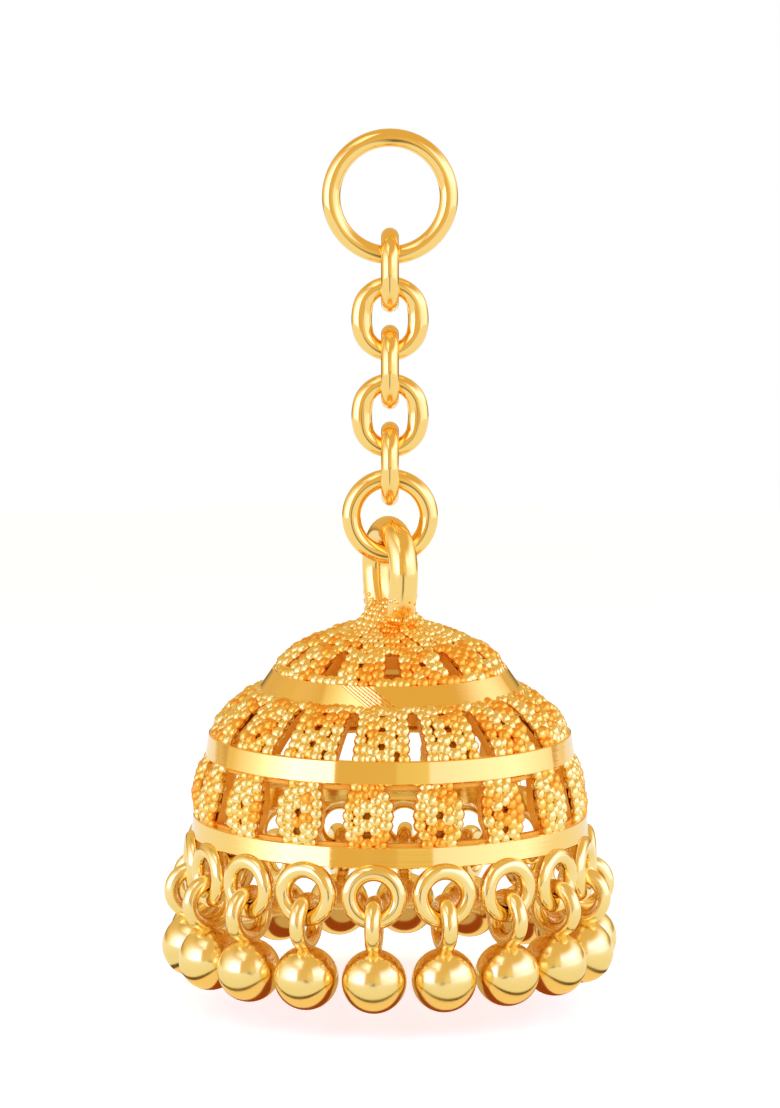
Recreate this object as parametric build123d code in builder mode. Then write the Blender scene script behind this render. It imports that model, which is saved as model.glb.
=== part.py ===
"""Jhumka drop earring: a ring, a short cable chain and a pierced bell hung with ball drops.

Millimetres, +Z up. The origin is the hanging point: the inside top of the upper ring, where the
post of an ear stud carries it. The bell hangs straight down the -Z axis, and its front is -Y.
Azimuth is measured from the front (-Y) towards +X.
"""
from build123d import *
from collections import namedtuple
from math import atan2, cos, degrees, radians, sin, sqrt
import os

# Upper ring, chain and connecting ring
top_ring_outer = 6.10
top_ring_wire = 0.82
link_count = 5
link_length = 3.82
link_width = 3.47
link_wire = 0.80
link_hole_width = 1.62
link_rounding = 0.38
connecting_ring_outer = 4.34
connecting_ring_wire = 0.85
wire_gap = 0.03             # clearance where one wire rests in another
bail_gap = 0.06             # the same under the bail's arch, which crosses its ring at a slant

# Bail: an egg-shaped loop of heavy wire soldered into the crown. Radii are of its centre line
bail_wire = 1.28
bail_arch_radius = 1.74
bail_foot_radius = 0.75
bail_side_radius = 4.00
bail_turn = 21.0            # the loop's plane, turned about Z from the YZ plane

# Skin of the bell: (radius, drop below the crown's top) at the edges of each zone
crown_drop = 4.40           # from the bail's top down to the crown's top
collar = (0.95, 0.00)
crown_hollow = (1.35, 0.42)
crown_flare = (2.10, 0.76)
crown_bulge = (3.75, 1.50)
crown_edge = (5.05, 2.55)
top_band = ((5.30, 2.48), (5.95, 3.42))
upper_start = (5.72, 3.48)
upper_bulge = (6.98, 4.42)
upper_end = (7.88, 5.45)
middle_band = ((8.20, 5.40), (8.36, 6.44))
lower_start = (8.08, 6.48)
lower_bulge = (8.50, 7.80)
lower_end = (8.68, 9.16)
rim_band = ((8.92, 9.12), (9.02, 10.06))
hollow_profile = ((8.42, 10.06), (8.02, 8.00), (7.34, 5.95), (6.25, 4.66), (5.05, 3.50),
                  (3.60, 2.12), (1.30, 1.70))

# Rim rings and ball drops
drop_count = 18
drop_azimuth = -4.5
rim_radius = 8.95
rim_ring_outer = 2.95
rim_ring_wire = 0.77
rim_ring_bite = 0.22        # how far a rim ring sinks into the rim band
drop_ring_outer = 2.65
drop_ring_wire = 0.72
ball_diameter = 2.87
ball_bite = 0.24            # how far a ball sinks into its ring

# Rows of pierced work between the bands. The middle is a skin point, lean is how far the skin's
# normal rises above level there, and the widths run evenly from a gap's top to its bottom
Gap = namedtuple("Gap", "count azimuth middle lean length widths")
gap_rows = {
    "crown": Gap(10, 1.5, (4.25, 1.86), 52.0, 1.75, (0.66, 0.90)),
    "upper": Gap(15, 9.2, (6.98, 4.42), 48.0, 2.60, (0.52, 0.92)),
    "lower": Gap(17, 4.0, (8.50, 7.80), 12.0, 2.45, (1.60, 1.08, 1.08, 1.70)),
}
gap_depth = 1.60

# Florets: a round centre with lobes round it, raised on each tile between two gaps
Floret = namedtuple("Floret", "row middle lean centre_radius lobe_radius lobe_ring lobes stretch")
floret_rows = (
    Floret("crown", (2.72, 1.06), 62.0, 0.36, 0.22, 0.38, 6, 1.10),
    Floret("crown", (4.22, 1.90), 52.0, 0.58, 0.30, 0.62, 8, 1.05),
    Floret("upper", (6.98, 4.42), 48.0, 0.72, 0.34, 0.76, 8, 1.18),
    Floret("lower", (8.50, 7.80), 12.0, 0.66, 0.32, 0.70, 8, 1.12),
)
floret_height = 0.34
floret_root = 0.30          # how far a floret reaches into the skin
seed_radius = 0.28          # the round granule at a floret's middle


def write(piece, name):
    """Label a finished piece and write it as one STEP file."""
    piece.part.label = name
    export_step(piece.part, f"parts/{name}.step")


def facing(azimuth, lean=0.0):
    """Unit vector that points away from the axis, leaning up by an angle."""
    level = cos(radians(lean))
    return Vector(level * sin(radians(azimuth)), -level * cos(radians(azimuth)), sin(radians(lean)))


def upright_plane(centre, azimuth, lean=0.0):
    """Plane through a point whose normal points along an azimuth; its y axis runs up the skin."""
    across = Vector(cos(radians(azimuth)), sin(radians(azimuth)), 0)
    return Plane(origin=centre, x_dir=across, z_dir=facing(azimuth, lean))


def around(radius, azimuth, height):
    """Point at a radius, azimuth and height."""
    return Vector(radius * sin(radians(azimuth)), -radius * cos(radians(azimuth)), height)


def wire_ring(plane, outer, wire):
    """Add a round ring of round wire that lies in a plane."""
    section_origin = plane.origin + plane.x_dir * ((outer - wire) / 2)
    with BuildSketch(Plane(origin=section_origin, x_dir=plane.x_dir, z_dir=plane.y_dir)) as section:
        Circle(wire / 2)
    revolve(section.sketch, axis=Axis(plane.origin, plane.z_dir))


os.makedirs("parts", exist_ok=True)

# ---------------------------------------------------------------- upper ring
top_ring_z = top_ring_wire - top_ring_outer / 2
with BuildPart() as top_ring:
    wire_ring(upright_plane(Vector(0, 0, top_ring_z), 0), top_ring_outer, top_ring_wire)
write(top_ring, "top_ring")

# ---------------------------------------------------------------- chain links
# A link's top wire rests on the bottom wire of what carries it. Odd links stand edge to the front.
carrier_z = top_ring_z - (top_ring_outer - top_ring_wire) / 2
carrier_wire = top_ring_wire
for number in range(1, link_count + 1):
    link_top_z = carrier_z + (carrier_wire + link_wire) / 2 + wire_gap
    link_z = link_top_z - (link_length - link_wire) / 2
    with BuildPart() as link:
        with BuildSketch(upright_plane(Vector(0, 0, link_z), 90 * (number % 2))):
            SlotOverall(link_length, link_width, rotation=90)
            SlotOverall(link_length - 2 * link_wire, link_hole_width, rotation=90, mode=Mode.SUBTRACT)
        extrude(amount=link_wire / 2, both=True)
        fillet(link.edges(), radius=link_rounding)
    write(link, f"chain_link_{number}")
    carrier_z = link_top_z - (link_length - link_wire)
    carrier_wire = link_wire

# ---------------------------------------------------------------- connecting ring
ring_top_z = carrier_z + (carrier_wire + connecting_ring_wire) / 2 + wire_gap
ring_span = connecting_ring_outer - connecting_ring_wire
with BuildPart() as connecting_ring:
    wire_ring(upright_plane(Vector(0, 0, ring_top_z - ring_span / 2), 0), connecting_ring_outer,
              connecting_ring_wire)
write(connecting_ring, "connecting_ring")

# ---------------------------------------------------------------- bell
arch_top_z = ring_top_z - ring_span + (connecting_ring_wire + bail_wire) / 2 + bail_gap
crown_z = arch_top_z + bail_wire / 2 - crown_drop


def skin(point):
    """Profile point from a radius and a drop below the crown's top."""
    radius, drop = point
    return (radius, crown_z - drop)


def skin_planes(middle, lean, first, count):
    """Planes on the skin, evenly spaced round the bell."""
    radius, height = skin(middle)
    turns = [first + 360 / count * step for step in range(count)]
    return [upright_plane(around(radius, turn, height), turn, lean) for turn in turns]


def bail_loop():
    """Add the bail: four tangent arcs that close an egg, swept with a round section."""
    side_shift = bail_side_radius - bail_arch_radius
    foot_drop = sqrt((bail_side_radius - bail_foot_radius)**2 - side_shift**2)
    side_sweep = degrees(atan2(foot_drop, side_shift))
    loop_plane = upright_plane(Vector(0, 0, arch_top_z - bail_arch_radius), 90 + bail_turn)
    with BuildLine(loop_plane) as loop:
        CenterArc((0, 0), bail_arch_radius, 0, 180)
        CenterArc((side_shift, 0), bail_side_radius, 180, side_sweep)
        CenterArc((0, -foot_drop), bail_foot_radius, 180 + side_sweep, 180 - 2 * side_sweep)
        CenterArc((-side_shift, 0), bail_side_radius, -side_sweep, side_sweep)
    start = loop_plane.origin + loop_plane.x_dir * bail_arch_radius
    with BuildSketch(Plane(origin=start, x_dir=loop_plane.x_dir, z_dir=loop_plane.y_dir)) as section:
        Circle(bail_wire / 2)
    sweep(section.sketch, path=loop.wires()[0])


def bell_shell():
    """Add the bell's wall, with its three flat bands standing proud of the skin."""
    with BuildSketch(Plane.XZ) as profile:
        with BuildLine():
            ceiling = hollow_profile[-1]
            Polyline(skin(ceiling), skin((0, ceiling[1])), skin((0, collar[1])), skin(collar))
            ThreePointArc(skin(collar), skin(crown_hollow), skin(crown_flare))
            ThreePointArc(skin(crown_flare), skin(crown_bulge), skin(crown_edge))
            Polyline(skin(crown_edge), skin(top_band[0]), skin(top_band[1]), skin(upper_start))
            ThreePointArc(skin(upper_start), skin(upper_bulge), skin(upper_end))
            Polyline(skin(upper_end), skin(middle_band[0]), skin(middle_band[1]), skin(lower_start))
            ThreePointArc(skin(lower_start), skin(lower_bulge), skin(lower_end))
            Polyline(skin(lower_end), skin(rim_band[0]), skin(rim_band[1]), skin(hollow_profile[0]))
            Spline(*[skin(point) for point in hollow_profile])
        make_face()
    revolve(profile.sketch, axis=Axis.Z)


def pierce(row):
    """Cut one row of gaps through the wall."""
    spacing = row.length / (len(row.widths) - 1)
    heights = [row.length / 2 - spacing * step for step in range(len(row.widths))]
    right_side = [(width / 2, height) for width, height in zip(row.widths, heights)]
    left_side = [(-across, height) for across, height in reversed(right_side)]
    with BuildSketch(*skin_planes(row.middle, row.lean, row.azimuth, row.count)) as slots:
        Polygon(*right_side, *left_side, align=None)
    extrude(slots.sketch, amount=gap_depth, both=True, mode=Mode.SUBTRACT)


def raise_florets(row):
    """Raise one floret on each tile between the gaps of a row."""
    gaps = gap_rows[row.row]
    tile_azimuth = gaps.azimuth + 180 / gaps.count
    planes = skin_planes(row.middle, row.lean, tile_azimuth, gaps.count)
    turns = [radians(360 / row.lobes * (step + 0.5)) for step in range(row.lobes)]
    lobe_places = [(row.lobe_ring * sin(turn), row.lobe_ring * row.stretch * cos(turn)) for turn in turns]
    with BuildSketch(*[plane.offset(-floret_root) for plane in planes]) as outlines:
        Circle(row.centre_radius)
        with Locations(*lobe_places):
            Circle(row.lobe_radius)
    extrude(outlines.sketch, amount=floret_root + floret_height)
    with Locations(*[plane.offset(floret_height).location for plane in planes]):
        Sphere(seed_radius)


rim_ring_z = crown_z - rim_band[1][1] + rim_ring_bite - rim_ring_outer / 2
drop_turns = [drop_azimuth + 360 / drop_count * step for step in range(drop_count)]
with BuildPart() as dome:
    bell_shell()
    for gap_row in gap_rows.values():
        pierce(gap_row)
    for floret_row in floret_rows:
        raise_florets(floret_row)
    for turn in drop_turns:
        wire_ring(upright_plane(around(rim_radius, turn, rim_ring_z), turn), rim_ring_outer, rim_ring_wire)
    bail_loop()
write(dome, "dome")

# ---------------------------------------------------------------- ball drops
# A drop's ring stands square to its rim ring and rests on the rim ring's lowest wire
rest_z = rim_ring_z - (rim_ring_outer - rim_ring_wire) / 2 + (rim_ring_wire + drop_ring_wire) / 2 + wire_gap
drop_ring_z = rest_z - (drop_ring_outer - drop_ring_wire) / 2
ball_z = drop_ring_z - drop_ring_outer / 2 + ball_bite - ball_diameter / 2
for number, turn in enumerate(drop_turns, start=1):
    with BuildPart() as drop:
        wire_ring(upright_plane(around(rim_radius, turn, drop_ring_z), turn + 90), drop_ring_outer,
                  drop_ring_wire)
        with Locations(around(rim_radius, turn, ball_z)):
            Sphere(ball_diameter / 2)
    write(drop, f"bead_drop_{number:02d}")
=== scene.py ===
"""Looks of a gold jhumka earring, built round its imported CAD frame.

Lengths are in millimetres until new_object() turns them into metres. Azimuth is in degrees from the
front of the bell (-Y) towards +X, and "drop" is a depth below the top of the bell's crown.
"""

import math

import bpy
import numpy as np
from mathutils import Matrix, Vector, noise as field


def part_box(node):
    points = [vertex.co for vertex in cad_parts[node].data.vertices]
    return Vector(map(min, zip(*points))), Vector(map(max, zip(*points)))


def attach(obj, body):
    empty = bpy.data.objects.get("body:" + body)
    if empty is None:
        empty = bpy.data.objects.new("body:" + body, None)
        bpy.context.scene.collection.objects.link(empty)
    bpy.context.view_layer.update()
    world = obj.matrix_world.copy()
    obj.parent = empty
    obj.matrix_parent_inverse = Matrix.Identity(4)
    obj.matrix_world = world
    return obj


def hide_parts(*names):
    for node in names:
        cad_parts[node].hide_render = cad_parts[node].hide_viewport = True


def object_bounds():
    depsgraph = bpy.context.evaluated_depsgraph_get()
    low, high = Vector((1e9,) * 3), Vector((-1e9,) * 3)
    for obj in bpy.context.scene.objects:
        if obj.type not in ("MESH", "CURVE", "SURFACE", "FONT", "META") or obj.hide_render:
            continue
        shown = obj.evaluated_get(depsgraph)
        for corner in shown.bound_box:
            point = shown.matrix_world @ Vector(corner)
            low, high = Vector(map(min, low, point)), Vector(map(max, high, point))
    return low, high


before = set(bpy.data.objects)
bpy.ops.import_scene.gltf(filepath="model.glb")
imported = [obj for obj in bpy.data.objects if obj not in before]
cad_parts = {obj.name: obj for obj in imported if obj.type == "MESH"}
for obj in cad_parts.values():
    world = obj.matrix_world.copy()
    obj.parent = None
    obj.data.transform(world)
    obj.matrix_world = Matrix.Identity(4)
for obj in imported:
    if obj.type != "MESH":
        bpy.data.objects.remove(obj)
cad_low, cad_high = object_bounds()

MM = 0.001
SHARP_DEGREES = 40.0      # faces that meet at more than this look sharp
NEAR_AXIS = 0.01          # radius at which a turned surface ends, just off its axis
NEAR_POLE = 1e-4          # the same for a ball, as a share of its radius
ROUNDING = 1e-9           # slack where two shares of a height are compared
rng = np.random.default_rng(7)

# ------------------------------------------------------------------ sizes, as the frame has them
LINK_COUNT = 5
DROP_COUNT = 18
TOP_RING_WIRE = 0.82
CONNECTING_RING_WIRE = 0.85
LINK_WIRE = 0.80
LINK_HOLE_WIDTH = 1.62
BAIL_WIRE = 1.28
BAIL_ARCH_RADIUS = 1.74
BAIL_FOOT_RADIUS = 0.75
BAIL_SIDE_RADIUS = 4.00
BAIL_TURN = 21.0
CROWN_DROP = 4.40
RIM_RADIUS = 8.95
RIM_RING_OUTER = 2.95
RIM_RING_WIRE = 0.77
RIM_RING_BITE = 0.22
DROP_RING_OUTER = 2.65
DROP_RING_WIRE = 0.72
DROP_AZIMUTH = -4.5
BALL_DIAMETER = 2.87
WALL = 0.55
CROWN_WALL = 0.85
LOWER_WALL = 0.48
CEILING_DROP = 1.70       # of the crown's inside, at its axis
FOOT_DEPTH = 1.2          # how far the bail's foot goes down into the crown
TILE_SINK = 0.10          # how far a tile's edge lies under the bell's skin
LINK_SHOULDER = 2.5       # how soon a link's round ends give way to its straight sides

# Skin of the bell: (radius, drop) where its zones start, bulge and end
FOOT_ARC = ((0.30, -0.42), (0.88, -0.16), (1.30, 0.38))
COLLAR_ARC = ((0.95, 0.00), (1.35, 0.42), (2.10, 0.76))
CROWN_ARC = ((2.10, 0.76), (3.75, 1.50), (5.05, 2.55))
UPPER_ARC = ((5.72, 3.48), (6.98, 4.42), (7.88, 5.45))
LOWER_ARC = ((8.08, 6.48), (8.50, 7.80), (8.68, 9.16))
TOP_BAND = ((5.30, 2.48), (5.95, 3.42))
MIDDLE_BAND = ((8.20, 5.40), (8.36, 6.44))
RIM_BAND = ((8.92, 9.12), (9.02, 10.06))


def node_box(node):
    """Lowest and highest corner of a CAD node, in millimetres."""
    low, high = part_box(node)
    return np.array(low) / MM, np.array(high) / MM


def node_middle(node):
    """Middle of a CAD node's box, in millimetres."""
    low, high = node_box(node)
    return (low + high) / 2


CROWN_Z = node_box("dome")[1][2] - CROWN_DROP


# ------------------------------------------------------------------ meshes from arrays
def grid(points, wrap_rows=False, wrap_columns=False):
    """Quads over an array of points (rows, columns, 3)."""
    rows, columns = points.shape[:2]
    row = np.arange(rows if wrap_rows else rows - 1)[:, None]
    column = np.arange(columns if wrap_columns else columns - 1)[None, :]
    next_row, next_column = (row + 1) % rows, (column + 1) % columns
    corners = [row * columns + column, row * columns + next_column,
               next_row * columns + next_column, next_row * columns + column]
    faces = np.stack([np.broadcast_to(c, (row.size, column.size)) for c in corners], -1)
    return points.reshape(-1, 3), faces.reshape(-1, 4)


def flip(part):
    """The same faces, seen from the other side."""
    return part[0], part[1][:, ::-1]


def new_object(name, points, faces, materials):
    """Mesh object in the scene, from points in millimetres."""
    mesh = bpy.data.meshes.new(name)
    mesh.from_pydata((points * MM).tolist(), [], faces)
    for material in materials:
        mesh.materials.append(material)
    made = bpy.data.objects.new(name, mesh)
    bpy.context.scene.collection.objects.link(made)
    return made


def make_piece(name, parts, materials, body, replaced=()):
    """One piece from several (points, faces) parts, with a material for all or one for each."""
    materials = materials if isinstance(materials, list) else [materials] * len(parts)
    points = np.concatenate([part[0] for part in parts])
    offsets = np.cumsum([0] + [len(part[0]) for part in parts[:-1]])
    faces = [[int(corner) + int(offset) for corner in face]
             for part, offset in zip(parts, offsets) for face in part[1]]
    kinds = list(dict.fromkeys(materials))
    piece = new_object(name, points, faces, kinds)
    piece.data.shade_smooth()
    piece.data.set_sharp_from_angle(angle=math.radians(SHARP_DEGREES))
    places = np.repeat([kinds.index(material) for material in materials],
                       [len(part[1]) for part in parts])
    piece.data.polygons.foreach_set("material_index", places.astype(np.int32))
    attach(piece, body)
    if replaced:
        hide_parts(*replaced)


def upright_axes(azimuth):
    """Unit vectors across, up and outward for an upright plane that faces an azimuth."""
    turn = math.radians(azimuth)
    across = np.array([math.cos(turn), math.sin(turn), 0.0])
    outward = np.array([math.sin(turn), -math.cos(turn), 0.0])
    return across, np.array([0.0, 0.0, 1.0]), outward


def around(radius, turn, height):
    """Point at a radius, an angle round from the front in radians, and a height."""
    return np.array([radius * math.sin(turn), -radius * math.cos(turn), height])


def turned(radius, turn, height):
    """Points at radii, angles round from the front in radians, and heights, for whole arrays."""
    columns = np.broadcast_arrays(radius * np.sin(turn), -radius * np.cos(turn), height)
    return np.stack(columns, -1)


def loop_tube(outline, centre, azimuth, half_in, half_out, sides):
    """Closed wire along a flat outline (n, 2) in the upright plane that faces an azimuth.

    Its section is an ellipse with the radii half_in in the plane and half_out across it.
    """
    across, up, outward = upright_axes(azimuth)
    path = centre + outline[:, :1] * across + outline[:, 1:] * up
    tangent = np.roll(path, -1, 0) - np.roll(path, 1, 0)
    tangent /= np.linalg.norm(tangent, axis=1, keepdims=True)
    side = np.cross(tangent, outward)
    angle = np.linspace(0, 2 * math.pi, sides, endpoint=False)
    half_in = np.broadcast_to(half_in, len(path))[:, None, None]
    section = half_in * np.cos(angle)[None, :, None] * side[:, None, :]
    section = section + half_out * np.sin(angle)[None, :, None] * outward
    return flip(grid(path[:, None, :] + section, wrap_rows=True, wrap_columns=True))


def circle(radius, steps):
    """Flat outline of a circle."""
    angle = np.linspace(0, 2 * math.pi, steps, endpoint=False)
    return np.stack([radius * np.cos(angle), radius * np.sin(angle)], 1)


def wire_ring(centre, azimuth, outer, wire, steps, sides):
    """Round ring of round wire in an upright plane."""
    return loop_tube(circle((outer - wire) / 2, steps), centre, azimuth, wire / 2, wire / 2, sides)


def lathe(profile, steps):
    """Surface turned from a profile of (radius, height) points, facing inward if it runs down."""
    turn = np.radians(np.linspace(0, 360, steps, endpoint=False))[None, :]
    profile = np.asarray(profile, float)
    return grid(turned(profile[:, :1], turn, profile[:, 1:]), wrap_columns=True)


def sphere(centre, radius, segments, rings):
    """Ball with its poles up and down."""
    polar = np.linspace(0.0, math.pi, rings + 1)
    profile = np.stack([radius * np.sin(polar), radius * np.cos(polar)], 1)
    profile[0, 0] = profile[-1, 0] = radius * NEAR_POLE
    points, faces = flip(lathe(profile, segments))
    caps = [list(range(segments)), list(range(rings * segments, (rings + 1) * segments))[::-1]]
    return points + centre, faces.tolist() + caps


# ------------------------------------------------------------------ the bell's skin
def arc_points(arc, share):
    """Points (radius, drop) and outward normals at shares of the arc through three points."""
    (ax, ay), (bx, by), (cx, cy) = arc
    twice = 2 * (ax * (by - cy) + bx * (cy - ay) + cx * (ay - by))
    a2, b2, c2 = ax * ax + ay * ay, bx * bx + by * by, cx * cx + cy * cy
    centre = np.array([(a2 * (by - cy) + b2 * (cy - ay) + c2 * (ay - by)) / twice,
                       (a2 * (cx - bx) + b2 * (ax - cx) + c2 * (bx - ax)) / twice])
    start, end = np.array(arc[0]) - centre, np.array(arc[2]) - centre
    first = math.atan2(start[1], start[0])
    sweep = (math.atan2(end[1], end[0]) - first + math.pi) % (2 * math.pi) - math.pi
    angle = first + sweep * np.asarray(share, float)
    radial = np.stack([np.cos(angle), np.sin(angle)], -1)
    points = centre + np.linalg.norm(start) * radial
    bulges_out = 1.0 if radial[..., 0].mean() > 0 else -1.0
    return points, radial * bulges_out


class Zone:
    """Pierced zone of the bell between two bands, with its gaps as the frame has them.

    The first gap is at the azimuth, and its middle is a (radius, drop). Widths run down its length.
    Between two gaps is a tile, which swells by the pillow.
    """

    def __init__(self, arc, count, azimuth, middle, length, widths, pillow):
        self.arc, self.count, self.azimuth = arc, count, azimuth
        self.widths, self.pillow = widths, pillow
        fine = np.linspace(0, 1, 400)
        points, _ = arc_points(arc, fine)
        self.length = float(np.linalg.norm(np.diff(points, axis=0), axis=1).sum())
        self.middle = float(fine[np.argmin(np.linalg.norm(points - np.array(middle), axis=1))])
        self.reach = length / 2 / self.length
        self.pitch = 360 / count

    def gap_half_width(self, share):
        """Half the gap's width at a share of the zone's height, from its widths down its length."""
        place = np.clip((share - self.middle) / self.reach, -1, 1)
        return np.interp(place, np.linspace(-1, 1, len(self.widths)), self.widths) / 2

    def skin(self, azimuth, share, lift=0.0):
        """Point and outward normal at an azimuth and a share of the zone's height."""
        flat, normal = arc_points(self.arc, share)
        turn = np.radians(azimuth)
        radius = flat[..., 0] + lift * normal[..., 0]
        height = CROWN_Z - flat[..., 1] - lift * normal[..., 1]
        return turned(radius, turn, height), turned(normal[..., 0], turn, -normal[..., 1])

    def tile_lift(self, across, share):
        """How far a tile swells out of the skin; across runs from -1 to 1 over the tile."""
        up = np.clip((share - self.middle) / self.reach, -1, 1)
        return self.pillow * (1 - across ** 4) * (1 - up ** 4) - TILE_SINK


CROWN = Zone(CROWN_ARC, count=10, azimuth=1.5, middle=(4.25, 1.86), length=1.75,
             widths=(0.66, 0.90), pillow=0.12)
UPPER = Zone(UPPER_ARC, count=15, azimuth=9.2, middle=(6.98, 4.42), length=2.60,
             widths=(0.52, 0.92), pillow=0.16)
LOWER = Zone(LOWER_ARC, count=17, azimuth=4.0, middle=(8.50, 7.80), length=2.45,
             widths=(1.60, 1.08, 1.08, 1.70), pillow=0.16)


def zone_shell(zone, wall, tile_columns=16, gap_columns=4, rows=18, frame_rows=3):
    """The zone's wall, pierced by its gaps, as three parts.

    They are the tiles' skin, the plain rims with the gaps' sides, and the inside.
    """
    first, last = zone.middle - zone.reach, zone.middle + zone.reach
    shares = np.concatenate([np.linspace(0, first, frame_rows, endpoint=False),
                             np.linspace(first, last, rows, endpoint=False),
                             np.linspace(last, 1, frame_rows + 1)])[:, None]
    radius = arc_points(zone.arc, shares[:, 0])[0][:, :1]
    half = np.degrees(zone.gap_half_width(shares) / radius)
    azimuths, across, gap_column = [], [], []
    for number in range(zone.count):
        centre = zone.azimuth + zone.pitch * number
        step = np.arange(gap_columns) / gap_columns
        azimuths.append(centre - half + 2 * half * step)
        across.append(np.ones((1, gap_columns)))
        gap_column += [True] * gap_columns
        step = np.arange(tile_columns) / tile_columns
        azimuths.append(centre + half + (zone.pitch - 2 * half) * step)
        across.append((2 * step - 1)[None, :])
        gap_column += [False] * tile_columns
    azimuths, across = np.concatenate(azimuths, 1), np.concatenate(across, 1)
    columns = azimuths.shape[1]
    share = np.broadcast_to(shares, azimuths.shape)
    outer, normal = zone.skin(azimuths, share)
    lift = zone.tile_lift(np.broadcast_to(across, azimuths.shape), share)
    outer = outer + normal * lift[..., None]
    inner = zone.skin(azimuths, share, -wall)[0]
    rows_in_gap = (shares[:-1, 0] >= first - ROUNDING) & (shares[1:, 0] <= last + ROUNDING)
    solid = ~(rows_in_gap[:, None] & np.array(gap_column)[None, :])
    outer_count = outer.shape[0] * columns
    index = np.arange(outer_count).reshape(outer.shape[:2])
    after = np.roll(index, -1, 1)
    skin_faces, faces, inside_faces = [], [], []
    for row in range(len(solid)):
        for column in range(columns):
            a, b = index[row, column], after[row, column]
            c, d = after[row + 1, column], index[row + 1, column]
            if solid[row, column]:
                (skin_faces if rows_in_gap[row] else faces).append((a, d, c, b))
                inner_a, inner_b = a + outer_count, b + outer_count
                inner_c, inner_d = c + outer_count, d + outer_count
                inside_faces.append((inner_a, inner_b, inner_c, inner_d))
                if not solid[row, (column + 1) % columns]:
                    faces.append((b, c, inner_c, inner_b))
                if not solid[row, column - 1]:
                    faces.append((d, a, inner_a, inner_d))
                if row + 1 == len(solid) or not solid[row + 1, column]:
                    faces.append((c, d, inner_d, inner_c))
                if not row or not solid[row - 1, column]:
                    faces.append((a, b, inner_b, inner_a))
    points = np.concatenate([outer.reshape(-1, 3), inner.reshape(-1, 3)])
    return [(points, skin_faces), (points, faces), (points, inside_faces)]


# ------------------------------------------------------------------ granulation
GRANULE_RADIUS = 0.32
GRANULE_FLATNESS = 0.80
GRANULE_TILT = 0.16           # typical lean of a granule, as a share of its height
GRANULE_SPAN = (0.08, 2.1)    # angles from its top that its surface covers, in radians
GRANULE_LIFT = 0.08           # of its middle above a tile's skin
LATTICE_PITCH = 0.415         # between neighbouring places of a tile's lattice
LATTICE_COLUMNS, LATTICE_ROWS = 10, 12    # on each side of a tile's middle
LATTICE_ROOM = 0.28           # least distance between two granules of the lattice
EDGE_ROOM = 0.24              # least distance between two granules along a tile's edges
FILL_ROOM = LATTICE_ROOM + 0.02    # least distance to a granule that fills a bare spot
PIT_ROOM = 0.22               # least distance from a pit to a granule that fills a bare spot
EDGE_MARGIN = 0.20            # from a tile's edge to the granules along it
LATTICE_MARGIN = 0.1          # from the granules along an edge to the lattice
FILL_START = 0.05             # from them to the first place that is tried for a fill
FILL_STEP = 0.09              # between the places that are tried
GAP_OVERLAP = 0.02            # share of a zone's height that a gap's narrowing goes on past it
TILE_JITTER = {"side": (-0.03, 0.03), "lift": (-0.03, 0.06), "size": (0.88, 1.12)}
RING_JITTER = {"step": (-0.12, 0.12), "lift": (-0.06, 0.06), "size": (0.82, 1.12)}


def tile_places(half_width, half_height):
    """Places (across, up) of granules on a tile.

    They line its two edges, then fill a triangular lattice in which one place in four stays
    bare as a pit, and last cover any other bare spot.
    """
    side = LATTICE_PITCH * math.sqrt(3) / 2
    inside, pits = [], []
    for column in range(-LATTICE_COLUMNS, LATTICE_COLUMNS + 1):
        for row in range(-LATTICE_ROWS, LATTICE_ROWS + 1):
            up = LATTICE_PITCH * (row + 0.5 * (column % 2))
            reach = half_width(up) - EDGE_MARGIN - LATTICE_MARGIN
            if abs(up) <= half_height and abs(side * column) <= reach:
                is_pit = column % 2 == 0 and row % 2 == (column // 2) % 2
                (pits if is_pit else inside).append(np.array([side * column, up]))
    steps = int(2 * half_height / LATTICE_PITCH) + 1
    edges = [np.array([way * (half_width(up) - EDGE_MARGIN), up])
             for up in np.linspace(-half_height, half_height, steps) for way in (-1, 1)]
    spots = [np.array([across, up]) for up in np.arange(-half_height, half_height, FILL_STEP)
             for across in np.arange(FILL_START - half_width(up) + EDGE_MARGIN,
                                     half_width(up) - EDGE_MARGIN, FILL_STEP)]
    spots = [spot for spot in spots if all(np.linalg.norm(spot - pit) >= PIT_ROOM for pit in pits)]
    kept = []
    for places, room in ((edges, EDGE_ROOM), (inside, LATTICE_ROOM), (spots, FILL_ROOM)):
        for place in places:
            if all(np.linalg.norm(place - other) >= room for other in kept):
                kept.append(place)
    return kept


def granule(point, outward, radius, segments=10, rings=5):
    """Small flattened dome of a granule that stands on the skin, leaning a little."""
    outward = outward / np.linalg.norm(outward) + rng.normal(0.0, GRANULE_TILT, 3)
    outward /= np.linalg.norm(outward)
    side = np.cross(outward, (0.0, 0.0, 1.0))
    side /= np.linalg.norm(side)
    other = np.cross(outward, side)
    polar = np.linspace(*GRANULE_SPAN, rings)[:, None]
    turn = np.linspace(0, 2 * math.pi, segments, endpoint=False)[None, :]
    local = ((np.sin(polar) * np.cos(turn))[..., None] * side
             + (np.sin(polar) * np.sin(turn))[..., None] * other)
    height = (np.cos(polar) + 0 * turn)[..., None]
    return point + radius * (local + GRANULE_FLATNESS * height * outward)


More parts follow.
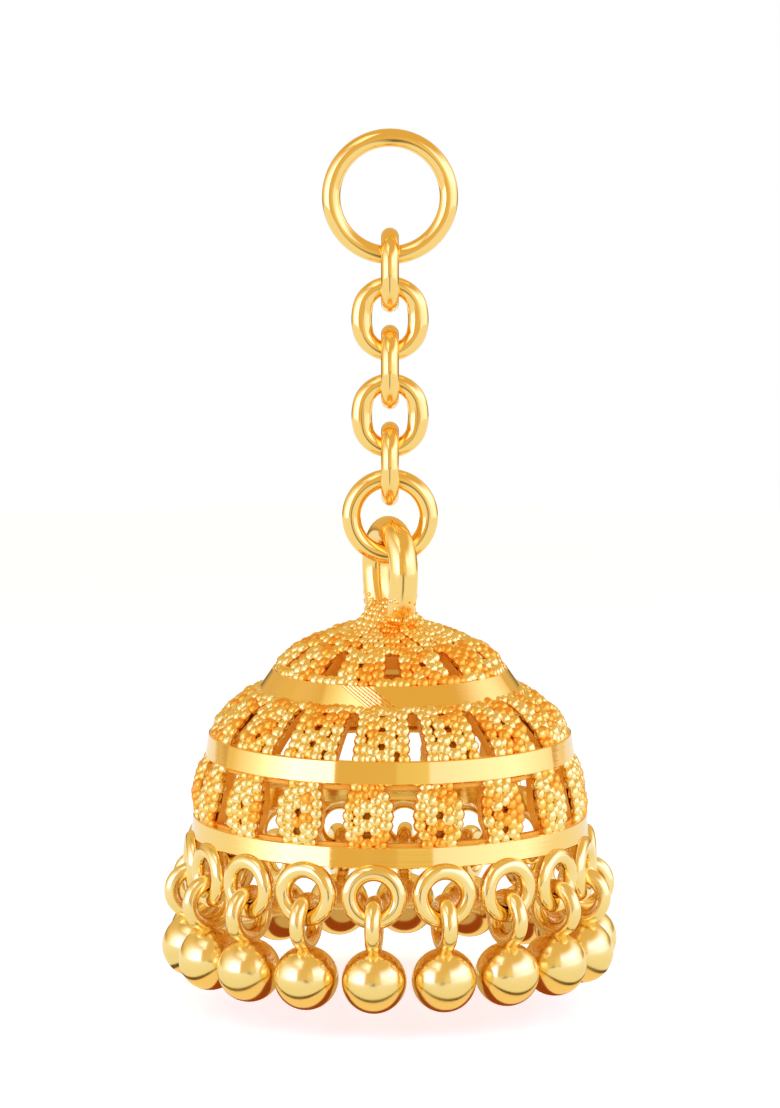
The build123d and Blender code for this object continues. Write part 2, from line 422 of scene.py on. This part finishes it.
def tile_granules(zone, share_low, share_high):
    """Granules over every tile of a zone between two shares of its height."""
    domes = []
    middle = (share_low + share_high) / 2
    half_height = (share_high - share_low) / 2 * zone.length

    def half_width(up):
        """Half a tile's width, so far up from the middle of the granules' height."""
        share = middle - up / zone.length
        radius = arc_points(zone.arc, share)[0][0]
        tile = math.radians(zone.pitch) * radius / 2
        beside_gap = abs(share - zone.middle) <= zone.reach + GAP_OVERLAP
        return tile - (float(zone.gap_half_width(share)) if beside_gap else 0.0)

    places = tile_places(half_width, half_height)
    for number in range(zone.count):
        centre = zone.azimuth + zone.pitch * (number + 0.5)
        for across, up in places:
            share = middle - up / zone.length
            radius = arc_points(zone.arc, share)[0][0]
            azimuth = centre + math.degrees((across + rng.uniform(*TILE_JITTER["side"])) / radius)
            lift = zone.tile_lift(min(abs(across) / half_width(up), 1.0), share)
            lift += rng.uniform(*TILE_JITTER["lift"])
            point, outward = zone.skin(np.array(azimuth), np.array(share))
            size = GRANULE_RADIUS * rng.uniform(*TILE_JITTER["size"])
            domes.append(granule(point + outward * (lift + GRANULE_LIFT), outward, size))
    return domes


def ring_granules(arc, shares, spacing, radius):
    """Granules in rings round the bell, each ring turned half a step from the last."""
    domes = []
    for number, share in enumerate(shares):
        (ring, drop), (out, down) = [pair[0] for pair in arc_points(arc, np.array([share]))]
        count = int(2 * math.pi * ring / spacing)
        for step in range(count):
            shift = 0.5 * (number % 2)
            turn = 2 * math.pi / count * (step + shift + rng.uniform(*RING_JITTER["step"]))
            outward = around(out, turn, -down)
            point = around(ring, turn, CROWN_Z - drop)
            domes.append(granule(point + outward * rng.uniform(*RING_JITTER["lift"]), outward,
                                 radius * rng.uniform(*RING_JITTER["size"])))
    return domes


def merge_domes(domes):
    """One (points, faces) part from many granules."""
    rings, segments = domes[0].shape[:2]
    size = rings * segments
    faces = flip(grid(domes[0], wrap_columns=True))[1].tolist()
    faces += [list(range(segments)), list(range(size - segments, size))[::-1]]
    merged = [[corner + size * number for corner in face]
              for number in range(len(domes)) for face in faces]
    return np.concatenate([dome.reshape(-1, 3) for dome in domes]), merged


# ------------------------------------------------------------------ the bell's other parts
BAND_EASE = 0.05          # how far a band's edges are taken back


def closed_lathe(profile, steps=360):
    """Solid ring turned from a closed profile of (radius, drop) points."""
    profile = np.array(profile + profile[:1])
    return flip(lathe(np.stack([profile[:, 0], CROWN_Z - profile[:, 1]], 1), steps))


def band_axes(edge):
    """A band's top and bottom edge (radius, drop), and unit vectors down its face and into it."""
    top, bottom = np.array(edge[0]), np.array(edge[1])
    along = (bottom - top) / np.linalg.norm(bottom - top)
    inward = np.array([-along[1], along[0]])
    return top, bottom, along, inward if inward[0] < 0 else -inward


def band(edge, rows=10):
    """One plain band: a flat outer face with eased edges, closed behind."""
    top, bottom, along, inward = band_axes(edge)
    face = [tuple(top + along * BAND_EASE + (bottom - top - 2 * BAND_EASE * along) * step)
            for step in np.linspace(0, 1, rows)]
    outer = [tuple(top + inward * BAND_EASE)] + face + [tuple(bottom + inward * BAND_EASE)]
    return closed_lathe(outer + [tuple(bottom + inward * WALL), tuple(top + inward * WALL)])


CUT_FIRST, CUT_LAST = -23.5, 3.6     # azimuths of the bright-cut strokes on the top band
CUT_COUNT = 6
CUT_SLANT = 1.20                     # how far a stroke runs round the band for each step down it
CUT_TURN = 0.036                     # how deep a stroke's facet falls away on its left
CUT_WIDE = 0.78                      # share of a stroke that its facet takes, before the groove
CUT_DEPTH = 0.11
CUT_SURROUND = 3.0                   # degrees of finely divided band beside the strokes
CUT_STEP = 0.12                      # degrees between its columns
PLAIN_COLUMNS = 200                  # columns of the rest of the band


def engraved_band(edge, rows=36):
    """The top band, with slanting bright-cut strokes sunk in its front."""
    top, bottom, along, inward = band_axes(edge)
    length = np.linalg.norm(bottom - top)
    dense = np.arange(CUT_FIRST - CUT_SURROUND, CUT_LAST + CUT_SURROUND, CUT_STEP)
    sparse = np.linspace(CUT_LAST + CUT_SURROUND, CUT_FIRST - CUT_SURROUND + 360, PLAIN_COLUMNS,
                         endpoint=False)
    azimuth = np.concatenate([dense, sparse])
    down = np.concatenate([[0.0], np.linspace(BAND_EASE, length - BAND_EASE, rows), [length]])
    depth = np.zeros((len(down), len(azimuth)))
    depth[0] = depth[-1] = BAND_EASE
    radius = top[0] + along[0] * down
    arc_place = np.radians(azimuth)[None, :] * radius[:, None]
    start = math.radians(CUT_FIRST) * radius.mean()
    span = math.radians(CUT_LAST - CUT_FIRST) * radius.mean() - CUT_SLANT * length
    place = (arc_place - start - CUT_SLANT * down[:, None]) / span * CUT_COUNT
    inside = (place > 0) & (place < CUT_COUNT)
    stroke = place % 1
    facet = CUT_TURN * (CUT_WIDE - stroke) / CUT_WIDE
    groove = CUT_DEPTH * (1 - np.abs((stroke - CUT_WIDE) / (1 - CUT_WIDE) * 2 - 1))
    depth += np.where(inside, np.where(stroke < CUT_WIDE, facet, groove), 0.0)
    flat_radius = top[0] + along[0] * down[:, None] + inward[0] * depth
    drop = top[1] + along[1] * down[:, None] + inward[1] * depth
    back = [bottom + inward * WALL, top + inward * WALL]
    ones = np.ones_like(azimuth)[None, :]
    flat_radius = np.concatenate([flat_radius] + [corner[0] * ones for corner in back])
    drop = np.concatenate([drop] + [corner[1] * ones for corner in back])
    points = turned(flat_radius, np.radians(azimuth)[None, :], CROWN_Z - drop)
    return flip(grid(points, wrap_rows=True, wrap_columns=True))


def collar():
    """The crown's smooth top, from the axis out to the granulated crown, and the ceiling inside."""
    flat, _ = arc_points(COLLAR_ARC, np.linspace(0, 1, 14))
    top = [(NEAR_AXIS, 0.0)] + [tuple(point) for point in flat]
    inner = arc_points(CROWN_ARC, np.zeros(1))
    under = inner[0][0] - WALL * inner[1][0]
    return closed_lathe(top + [tuple(under), (NEAR_AXIS, CEILING_DROP)], steps=96)


def bail_foot():
    """Mound of solder in which the bail's two legs stand."""
    flat, _ = arc_points(FOOT_ARC, np.linspace(0, 1, 12))
    mound = [(NEAR_AXIS, FOOT_ARC[0][1])] + [tuple(point) for point in flat]
    return closed_lathe(mound + [(FOOT_ARC[2][0], FOOT_DEPTH), (NEAR_AXIS, FOOT_DEPTH)], steps=72)


def bail_outline():
    """Egg-shaped outline of the bail's middle line, and the height of its arch's middle.

    It is made of four tangent arcs: the arch, a side, the foot and the other side.
    """
    side_shift = BAIL_SIDE_RADIUS - BAIL_ARCH_RADIUS
    foot_drop = math.sqrt((BAIL_SIDE_RADIUS - BAIL_FOOT_RADIUS) ** 2 - side_shift ** 2)
    sweep = math.degrees(math.atan2(foot_drop, side_shift))
    outline = []
    for centre, radius, first, span, steps in (
            ((0, 0), BAIL_ARCH_RADIUS, 0, 180, 40),
            ((side_shift, 0), BAIL_SIDE_RADIUS, 180, sweep, 26),
            ((0, -foot_drop), BAIL_FOOT_RADIUS, 180 + sweep, 180 - 2 * sweep, 14),
            ((-side_shift, 0), BAIL_SIDE_RADIUS, -sweep, sweep, 26)):
        angle = np.radians(first + span * np.arange(steps) / steps)
        outline.append(np.stack([centre[0] + radius * np.cos(angle),
                                 centre[1] + radius * np.sin(angle)], 1))
    return np.concatenate(outline), CROWN_Z + CROWN_DROP - BAIL_WIRE / 2 - BAIL_ARCH_RADIUS


def bail():
    """Loop of heavy wire that the bell hangs by."""
    outline, arch_z = bail_outline()
    return loop_tube(outline, np.array([0, 0, arch_z]), 90 + BAIL_TURN,
                     BAIL_WIRE / 2, BAIL_WIRE / 2, sides=36)


GRAIN_COUNT = 150
GRAIN_REACH = 1.15        # how far up the bail's legs the grains climb
GRAIN_RADIUS = 0.19
GRAIN_SHRINK = 0.6        # share of its size that a grain has lost at the top
GRAIN_SINK = 0.04         # of a grain's middle under the leg's surface


def bail_grains():
    """Grains of the granulation that run up the foot of the bail's legs."""
    outline, arch_z = bail_outline()
    across, up, outward = upright_axes(90 + BAIL_TURN)
    low = outline[outline[:, 1] + arch_z < CROWN_Z + GRAIN_REACH]
    domes = []
    for _ in range(GRAIN_COUNT):
        place = low[rng.integers(len(low))]
        path = np.array([0, 0, arch_z]) + place[0] * across + place[1] * up
        angle = rng.uniform(0, 2 * math.pi)
        outwards = math.cos(angle) * across + math.sin(angle) * outward
        size = GRAIN_RADIUS * (1 - GRAIN_SHRINK * max(path[2] - CROWN_Z, 0) / GRAIN_REACH)
        domes.append(granule(path + outwards * (BAIL_WIRE / 2 - GRAIN_SINK), outwards, size))
    return domes


RIM_RING_Z = CROWN_Z - RIM_BAND[1][1] + RIM_RING_BITE - RIM_RING_OUTER / 2
DROP_AZIMUTHS = [DROP_AZIMUTH + 360 / DROP_COUNT * step for step in range(DROP_COUNT)]


def rim_rings():
    """The rings soldered to the rim, flat to the bell's skin."""
    return [wire_ring(around(RIM_RADIUS, math.radians(azimuth), RIM_RING_Z), azimuth,
                      RIM_RING_OUTER, RIM_RING_WIRE, steps=64, sides=20)
            for azimuth in DROP_AZIMUTHS]


def link_outline():
    """Centre line of a link and half its width in the plane, from its outer and inner ovals."""
    low, high = node_box("chain_link_2")
    length, width = high[2] - low[2], high[0] - low[0]
    hole_length = length - 2 * LINK_WIRE
    angle = np.linspace(0, 2 * math.pi, 96, endpoint=False)
    shift = np.clip(np.sin(angle) * LINK_SHOULDER, -1, 1)
    ovals = []
    for oval_length, oval_width in ((length, width), (hole_length, LINK_HOLE_WIDTH)):
        radius = oval_width / 2
        ovals.append(np.stack([radius * np.cos(angle),
                               radius * np.sin(angle) + (oval_length / 2 - radius) * shift], 1))
    return (ovals[0] + ovals[1]) / 2, np.linalg.norm(ovals[0] - ovals[1], axis=1) / 2


# ------------------------------------------------------------------ materials
NOISE_RANGE = (0.3, 0.7)
WEAR = 0.2                # how far roughness varies, as a share of it


def gold(name, colour, roughness, relief, metallic=1.0, specular=0.5):
    """Polished or worked gold, with a fine relief and a roughness that varies a little with it.

    relief is (noise scale along x, y and z per metre, height in metres).
    """
    material = bpy.data.materials.new(name)
    material.use_nodes = True
    nodes, links = material.node_tree.nodes, material.node_tree.links
    shader = nodes["Principled BSDF"]
    shader.inputs["Base Color"].default_value = (*colour, 1.0)
    shader.inputs["Metallic"].default_value = metallic
    shader.inputs["Specular IOR Level"].default_value = specular
    place, mapping = nodes.new("ShaderNodeTexCoord"), nodes.new("ShaderNodeMapping")
    noise, bump = nodes.new("ShaderNodeTexNoise"), nodes.new("ShaderNodeBump")
    wear = nodes.new("ShaderNodeMapRange")
    mapping.inputs["Scale"].default_value = relief[0]
    noise.inputs["Scale"].default_value = 1.0
    noise.inputs["Detail"].default_value = 2.0
    bump.inputs["Strength"].default_value = 1.0
    bump.inputs["Distance"].default_value = relief[1]
    wear.inputs["From Min"].default_value, wear.inputs["From Max"].default_value = NOISE_RANGE
    wear.inputs["To Min"].default_value = roughness * (1 - WEAR)
    wear.inputs["To Max"].default_value = roughness * (1 + WEAR)
    links.new(place.outputs["Object"], mapping.inputs["Vector"])
    links.new(mapping.outputs["Vector"], noise.inputs["Vector"])
    links.new(noise.outputs["Fac"], bump.inputs["Height"])
    links.new(bump.outputs["Normal"], shader.inputs["Normal"])
    links.new(noise.outputs["Fac"], wear.inputs["Value"])
    links.new(wear.outputs["Result"], shader.inputs["Roughness"])
    return material


WIRE_GOLD = (1.0, 0.70, 0.22)
DRAWN = ((900, 900, 900), 6e-7)
ROLLED = ((60, 60, 12000), 1.0e-6)
SPUN = ((700, 700, 700), 1e-6)
CAST = ((1400, 1400, 900), 1.4e-5)
MELTED = ((2600, 2600, 2600), 4e-6)
ROUGH = ((2200, 2200, 2200), 8e-6)
UNPOLISHED = ((1200, 1200, 1200), 8e-6)
polished = gold("polished_wire", WIRE_GOLD, 0.09, DRAWN)
rim_gold = gold("polished_rings", (1.0, 0.76, 0.30), 0.10, DRAWN)
ball_gold = gold("polished_ball", (1.0, 0.77, 0.31), 0.18, SPUN)
cast_gold = gold("cast", WIRE_GOLD, 0.14, CAST)
band_gold = gold("machined_band", (1.0, 0.69, 0.20), 0.08, ROLLED)
granule_golds = [gold("granule_pale", (1.0, 0.77, 0.28), 0.20, MELTED),
                 gold("granule_warm", (1.0, 0.66, 0.15), 0.24, MELTED),
                 gold("granule_deep", (1.0, 0.48, 0.06), 0.30, MELTED)]
# painted shade: dark brown gold for the tiles' skin that shows between the granules
pit_painted_shade = gold("pit", (0.40, 0.14, 0.02), 0.40, ROUGH)
# painted shade: deeper orange, half-matte gold for the plain rims and the gaps' sides, in the
# crevices
recess_painted_shade = gold("recess", (1.0, 0.54, 0.07), 0.42, ROUGH, metallic=0.25, specular=0.1)
# painted shade: deeper, half-matte gold for the bell's shaded inside
inside_painted_shade = gold("inside", (1.0, 0.64, 0.14), 0.34, UNPOLISHED, metallic=0.4, specular=0.1)


# ------------------------------------------------------------------ build the pieces
CROWN_TILE_END = 0.97     # share of the crown's height where the granules on its tiles end
TILE_SPAN = (0.04, 0.96)  # shares of the height where they start and end in the lower rows
ROW_MARGIN = 0.05         # from the crown's rings of granules to its top edge and its tiles
PATCH_SCALE = 0.95        # of the noise that makes patches of paler and deeper gold, per mm
PATCH_SCATTER = 0.16      # how far a single granule may stand out of its patch
CROWN_PAINTED_SHADE = 0.10        # painted shade: how much deeper gold the crown's granules are made
WARM_FROM, DEEP_FROM = 0.02, 0.24


def upright_ring(node, wire, steps):
    """Wire ring that faces the front, as wide as its node and in its place."""
    low, high = node_box(node)
    return wire_ring(node_middle(node), 0, high[0] - low[0], wire, steps, sides=32)


def build_chain():
    """The upper ring, the links and the connecting ring."""
    make_piece("top_ring_wire", [upright_ring("top_ring", TOP_RING_WIRE, steps=160)], polished,
               "chain", ["top_ring"])
    outline, half_in = link_outline()
    for number in range(1, LINK_COUNT + 1):
        node = f"chain_link_{number}"
        tube = loop_tube(outline, node_middle(node), 90 * (number % 2), half_in, LINK_WIRE / 2,
                         sides=28)
        make_piece(f"link_wire_{number}", [tube], polished, "chain", [node])
    ring = upright_ring("connecting_ring", CONNECTING_RING_WIRE, steps=128)
    make_piece("connecting_ring_wire", [ring], polished, "connecting_ring",
               ["connecting_ring"])


def bell_granules():
    """All the bell's granules, and how many of them are the crown's."""
    low_share = CROWN.middle - CROWN.reach
    crown_rows = np.linspace(ROW_MARGIN, low_share - ROW_MARGIN, 4)
    granules = tile_granules(CROWN, low_share, CROWN_TILE_END)
    granules += ring_granules(CROWN_ARC, crown_rows, spacing=0.50, radius=0.27)
    crown_count = len(granules)
    granules += ring_granules(COLLAR_ARC, (0.42, 0.66, 0.9), spacing=0.42, radius=0.23)
    granules += ring_granules(FOOT_ARC, (0.0, 0.2, 0.4, 0.6, 0.8, 1.0), spacing=0.26, radius=0.16)
    granules += bail_grains()
    granules += tile_granules(UPPER, *TILE_SPAN) + tile_granules(LOWER, *TILE_SPAN)
    return granules, crown_count


def shaded_granules():
    """The granules in three groups, from pale to deep gold, in soft patches, with the crown's made
    deeper as painted shade.
    """
    granules, crown_count = bell_granules()
    groups = [[], [], []]
    for number, grain in enumerate(granules):
        middle = grain[0].mean(axis=0)
        shade = field.noise(Vector(middle * PATCH_SCALE)) + PATCH_SCATTER * rng.standard_normal()
        shade += CROWN_PAINTED_SHADE if number < crown_count else 0.0
        groups[int(shade > WARM_FROM) + int(shade > DEEP_FROM)].append(grain)
    return [merge_domes(group) for group in groups]


def build_bell():
    """The pierced shell, its bands, its granules, the bail and the rim's rings."""
    walls = zone_shell(CROWN, CROWN_WALL) + zone_shell(UPPER, WALL) + zone_shell(LOWER, LOWER_WALL)
    bands = [engraved_band(TOP_BAND), band(MIDDLE_BAND), band(RIM_BAND)]
    # The tiles' skin between granules, the rims with the gaps' sides and the inside take painted
    # shade.
    make_piece("dome_shell", walls, [pit_painted_shade, recess_painted_shade, inside_painted_shade] * 3,
               "bell", ["dome"])
    make_piece("dome_bands", bands, band_gold, "bell")
    make_piece("dome_granules", shaded_granules(), granule_golds, "bell")
    make_piece("dome_bail", [collar(), bail_foot(), bail()], cast_gold, "bell")
    make_piece("dome_rings", rim_rings(), rim_gold, "bell")


def build_drops():
    """The balls with their wire rings, one from each of the rim's rings."""
    for number, azimuth in enumerate(DROP_AZIMUTHS, start=1):
        node = f"bead_drop_{number:02d}"
        low, high = node_box(node)
        middle = (low + high) / 2
        ring_centre = np.array([middle[0], middle[1], high[2] - DROP_RING_OUTER / 2])
        ball_centre = np.array([middle[0], middle[1], low[2] + BALL_DIAMETER / 2])
        parts = [wire_ring(ring_centre, azimuth + 90, DROP_RING_OUTER, DROP_RING_WIRE,
                           steps=64, sides=20),
                 sphere(ball_centre, BALL_DIAMETER / 2, segments=56, rings=36)]
        make_piece(f"ball_drop_{number:02d}", parts, ball_gold, "bell", [node])


build_chain()
build_bell()
build_drops()

# ------------------------------------------------------------------ stage
FLOOR_GAP = 1.2           # from the lowest ball to the floor
FLOOR_Z = cad_low[2] / MM - FLOOR_GAP
FLOOR_RADIUS = 165.0
FLOOR_COLOUR = (0.86, 0.86, 0.86)
FLOOR_ROUGHNESS = 0.32
FLOOR_GLOW = (0.58, 0.59, 0.67)
MIRRORED_FLOOR_Z = FLOOR_Z - 0.05    # just under it
MIRRORED_FLOOR_COLUMNS = 241
SCREEN_COLUMNS, SCREEN_ROWS = 41, 25
ROOM_LIGHT = (0.77, 0.54, 0.23)


def glowing(name, part, colours, mirror_only=False):
    """Stage mesh that gives off light, with a colour at each point. The camera doesn't see it."""
    peak = float(np.max(colours))
    material = bpy.data.materials.new(name)
    material.use_nodes = True
    nodes, links = material.node_tree.nodes, material.node_tree.links
    nodes.clear()
    output, light = nodes.new("ShaderNodeOutputMaterial"), nodes.new("ShaderNodeEmission")
    attribute = nodes.new("ShaderNodeVertexColor")
    attribute.layer_name = "light"
    light.inputs["Strength"].default_value = peak
    links.new(attribute.outputs["Color"], light.inputs["Color"])
    links.new(light.outputs["Emission"], output.inputs["Surface"])
    lamp = new_object(name, part[0], part[1].tolist(), [material])
    layer = lamp.data.color_attributes.new("light", "FLOAT_COLOR", "POINT")
    shades = np.c_[colours / peak, np.ones(len(colours))]
    layer.data.foreach_set("color", shades.astype(np.float32).ravel())
    lamp.visible_camera = False
    if mirror_only:
        lamp.visible_diffuse = lamp.visible_shadow = False


def screen(name, azimuths, heights, distance, colours, strengths=(1.0, 1.0), mirror_only=False):
    """Curved screen round the object.

    Its light runs through the colours along it. Up it, the strengths say how much of them shows,
    and the room's light makes up the rest.
    """
    share, up = np.linspace(0.0, 1.0, SCREEN_COLUMNS), np.linspace(0.0, 1.0, SCREEN_ROWS)
    turn = np.radians(azimuths[0] + (azimuths[1] - azimuths[0]) * share)[None, :]
    height = (heights[0] + (heights[1] - heights[0]) * up)[:, None]
    stops = np.linspace(0.0, 1.0, len(colours))
    row = np.stack([np.interp(share, stops, channel) for channel in zip(*colours)], 1)[None]
    strength = np.interp(up, np.linspace(0.0, 1.0, len(strengths)), strengths)[:, None, None]
    light = strength * row + (1 - strength) * np.array(ROOM_LIGHT)
    glowing(name, grid(turned(distance, turn, height)), light.reshape(-1, 3), mirror_only)


def mirrored_floor(name, tones, azimuth, half_width, gap_from, gap_colour):
    """The floor as the metal reflects it, just under the one that the camera sees.

    Tones are radius and colour, and here paint the earring's shadow and warm glow on this floor.
    A soft dark strip runs outward at the azimuth, half_width degrees
    to each side, from the radius gap_from.
    """
    azimuths = np.linspace(-180.0, 180.0, MIRRORED_FLOOR_COLUMNS)
    radius = np.array([tone[0] for tone in tones])[:, None]
    colours = np.array([tone[1] for tone in tones])[:, None, :]
    shade = np.clip(1 - np.abs(azimuths - azimuth) / half_width, 0, 1)[None, :, None]
    shade = shade * (radius >= gap_from)[:, :, None]
    light = colours * (1 - shade) + np.array(gap_colour) * shade
    points = turned(radius, np.radians(azimuths)[None, :], MIRRORED_FLOOR_Z)
    glowing(name, grid(points), light.reshape(-1, 3), mirror_only=True)


def cool(strength, blue):
    """Colour of a cool white light, whose blue is some times as strong as the rest."""
    return (strength, strength, strength * blue)


FADE = (1.0, 1.0, 1.0, 0.85, 0.65, 0.45, 0.25, 0.1, 0.0)
RISE_AND_FADE = (0.85, 0.85, 0.9, 1.3, 1.3, 1.0, 0.6, 0.2, 0.0)
BACK_FADE = (1.0, 1.0, 0.6, 0.2, 0.0)
AMBER, BROWN, DARK = (0.70, 0.50, 0.24), (0.26, 0.18, 0.08), (0.20, 0.14, 0.06)
# Painted shadow and glow of the earring on the floor that the metal reflects: painted shade under
# the bell, a painted deep-red shadow under the balls, a painted lit ring round them and a painted
# dark shadow edge.
BELL_SHADOW_TONE = (0.60, 0.40, 0.20)
BALL_SHADOW_RED = (0.30, 0.06, 0.01)
LIT_RING = (0.95, 0.72, 0.40)
SHADOW_EDGE_RING = (0.14, 0.08, 0.02)
FAR_FLOOR, GAP = (0.95, 0.95, 1.0), (0.16, 0.09, 0.03)


def build_lights():
    """The light that the gold mirrors, named by where it stands as the camera sees it."""
    screen("light_left", azimuths=(-34, -140), heights=(-45, 150), distance=170,
           colours=(cool(2.0, 1.9), cool(2.2, 1.9), cool(1.35, 1.3), (0.88, 0.72, 0.42),
                    (0.74, 0.54, 0.30)), strengths=FADE)
    screen("light_right", azimuths=(24, 140), heights=(-45, 150), distance=170,
           colours=(cool(1.2, 1.5), cool(1.4, 1.5), cool(1.6, 1.6), cool(1.25, 1.3),
                    (0.9, 0.72, 0.46)), strengths=RISE_AND_FADE)
    screen("front_left", azimuths=(-34, 4), heights=(-28, 110), distance=172,
           colours=((0.78, 0.57, 0.27), (0.80, 0.60, 0.30)), strengths=FADE)
    screen("front_right", azimuths=(4, 24), heights=(-28, 110), distance=172,
           colours=((0.86, 0.74, 0.46), (0.90, 0.80, 0.50)), strengths=FADE)
    screen("light_on_strokes", azimuths=(-125, -22), heights=(100, 420), distance=176,
           colours=((0.56, 0.42, 0.22), (0.66, 0.50, 0.28), (0.95, 0.85, 0.62), cool(1.4, 1.3),
                    cool(1.4, 1.3)))
    screen("back", azimuths=(120, 240), heights=(-34, 2), distance=166,
           colours=(AMBER, BROWN, DARK, BROWN, AMBER), strengths=BACK_FADE, mirror_only=True)
    screen("front_gap", azimuths=(-15, 9), heights=(-39, -32), distance=164,
           colours=(FAR_FLOOR, GAP, FAR_FLOOR), mirror_only=True)
    # The floor that the metal reflects carries painted shadow under the bell and balls, a painted
    # lit ring and dark edge, and painted warm light that fades out to the far floor.
    mirrored_floor("floor_in_metal", (
        (NEAR_AXIS, BELL_SHADOW_TONE), (6.5, BELL_SHADOW_TONE), (6.6, BALL_SHADOW_RED), (8.8, BALL_SHADOW_RED),
        (8.9, LIT_RING), (10.8, LIT_RING), (10.9, SHADOW_EDGE_RING), (11.5, SHADOW_EDGE_RING),
        (11.6, (0.90, 0.84, 0.66)), (24.0, (0.95, 0.93, 0.88)), (40.0, FAR_FLOOR),
        (FLOOR_RADIUS, FAR_FLOOR)), azimuth=-3, half_width=12, gap_from=30, gap_colour=GAP)


def build_floor():
    """Plain white floor. The metal reflects the one under it instead."""
    material = bpy.data.materials.new("floor")
    material.use_nodes = True
    shader = material.node_tree.nodes["Principled BSDF"]
    shader.inputs["Base Color"].default_value = (*FLOOR_COLOUR, 1.0)
    shader.inputs["Roughness"].default_value = FLOOR_ROUGHNESS
    shader.inputs["Emission Color"].default_value = (*FLOOR_GLOW, 1.0)
    shader.inputs["Emission Strength"].default_value = 1.0
    points, faces = flip(lathe([(NEAR_AXIS, FLOOR_Z), (FLOOR_RADIUS, FLOOR_Z)], steps=96))
    floor = new_object("floor", points, faces.tolist(), [material])
    floor.visible_glossy = False


def build_world():
    """White behind the object, and a dimmer warm room for everything that it reflects."""
    scene = bpy.context.scene
    world = scene.world or bpy.data.worlds.new("studio")
    scene.world = world
    world.use_nodes = True
    nodes, links = world.node_tree.nodes, world.node_tree.links
    nodes.clear()
    output, blend = nodes.new("ShaderNodeOutputWorld"), nodes.new("ShaderNodeMixShader")
    path = nodes.new("ShaderNodeLightPath")
    seen, room = nodes.new("ShaderNodeBackground"), nodes.new("ShaderNodeBackground")
    seen.inputs["Color"].default_value = (1.0, 1.0, 1.0, 1.0)
    room.inputs["Color"].default_value = (*ROOM_LIGHT, 1.0)
    links.new(path.outputs["Is Camera Ray"], blend.inputs["Fac"])
    links.new(room.outputs["Background"], blend.inputs[1])
    links.new(seen.outputs["Background"], blend.inputs[2])
    links.new(blend.outputs["Shader"], output.inputs["Surface"])
    scene.view_settings.view_transform = "Standard"
    scene.view_settings.look = "None"


CAMERA_DISTANCE = 300.0
CAMERA_ELEVATION = 8.2
CAMERA_LENS = 216.0
CAMERA_CLIP = (0.001, 20.0)


def build_camera():
    """Long lens in front of the earring and a little above it, aimed at its middle."""
    scene = bpy.context.scene
    target = (np.array(cad_low) / MM + np.array(cad_high) / MM) / 2
    lift = math.radians(CAMERA_ELEVATION)
    back = np.array([0.0, -math.cos(lift), math.sin(lift)])
    data = bpy.data.cameras.new("camera")
    data.lens = CAMERA_LENS
    data.clip_start, data.clip_end = CAMERA_CLIP
    camera = bpy.data.objects.new("camera", data)
    camera.location = (target + back * CAMERA_DISTANCE) * MM
    camera.rotation_euler = (math.radians(90) - lift, 0.0, 0.0)
    scene.collection.objects.link(camera)
    scene.camera = camera


build_lights()
build_floor()
build_world()
build_camera()
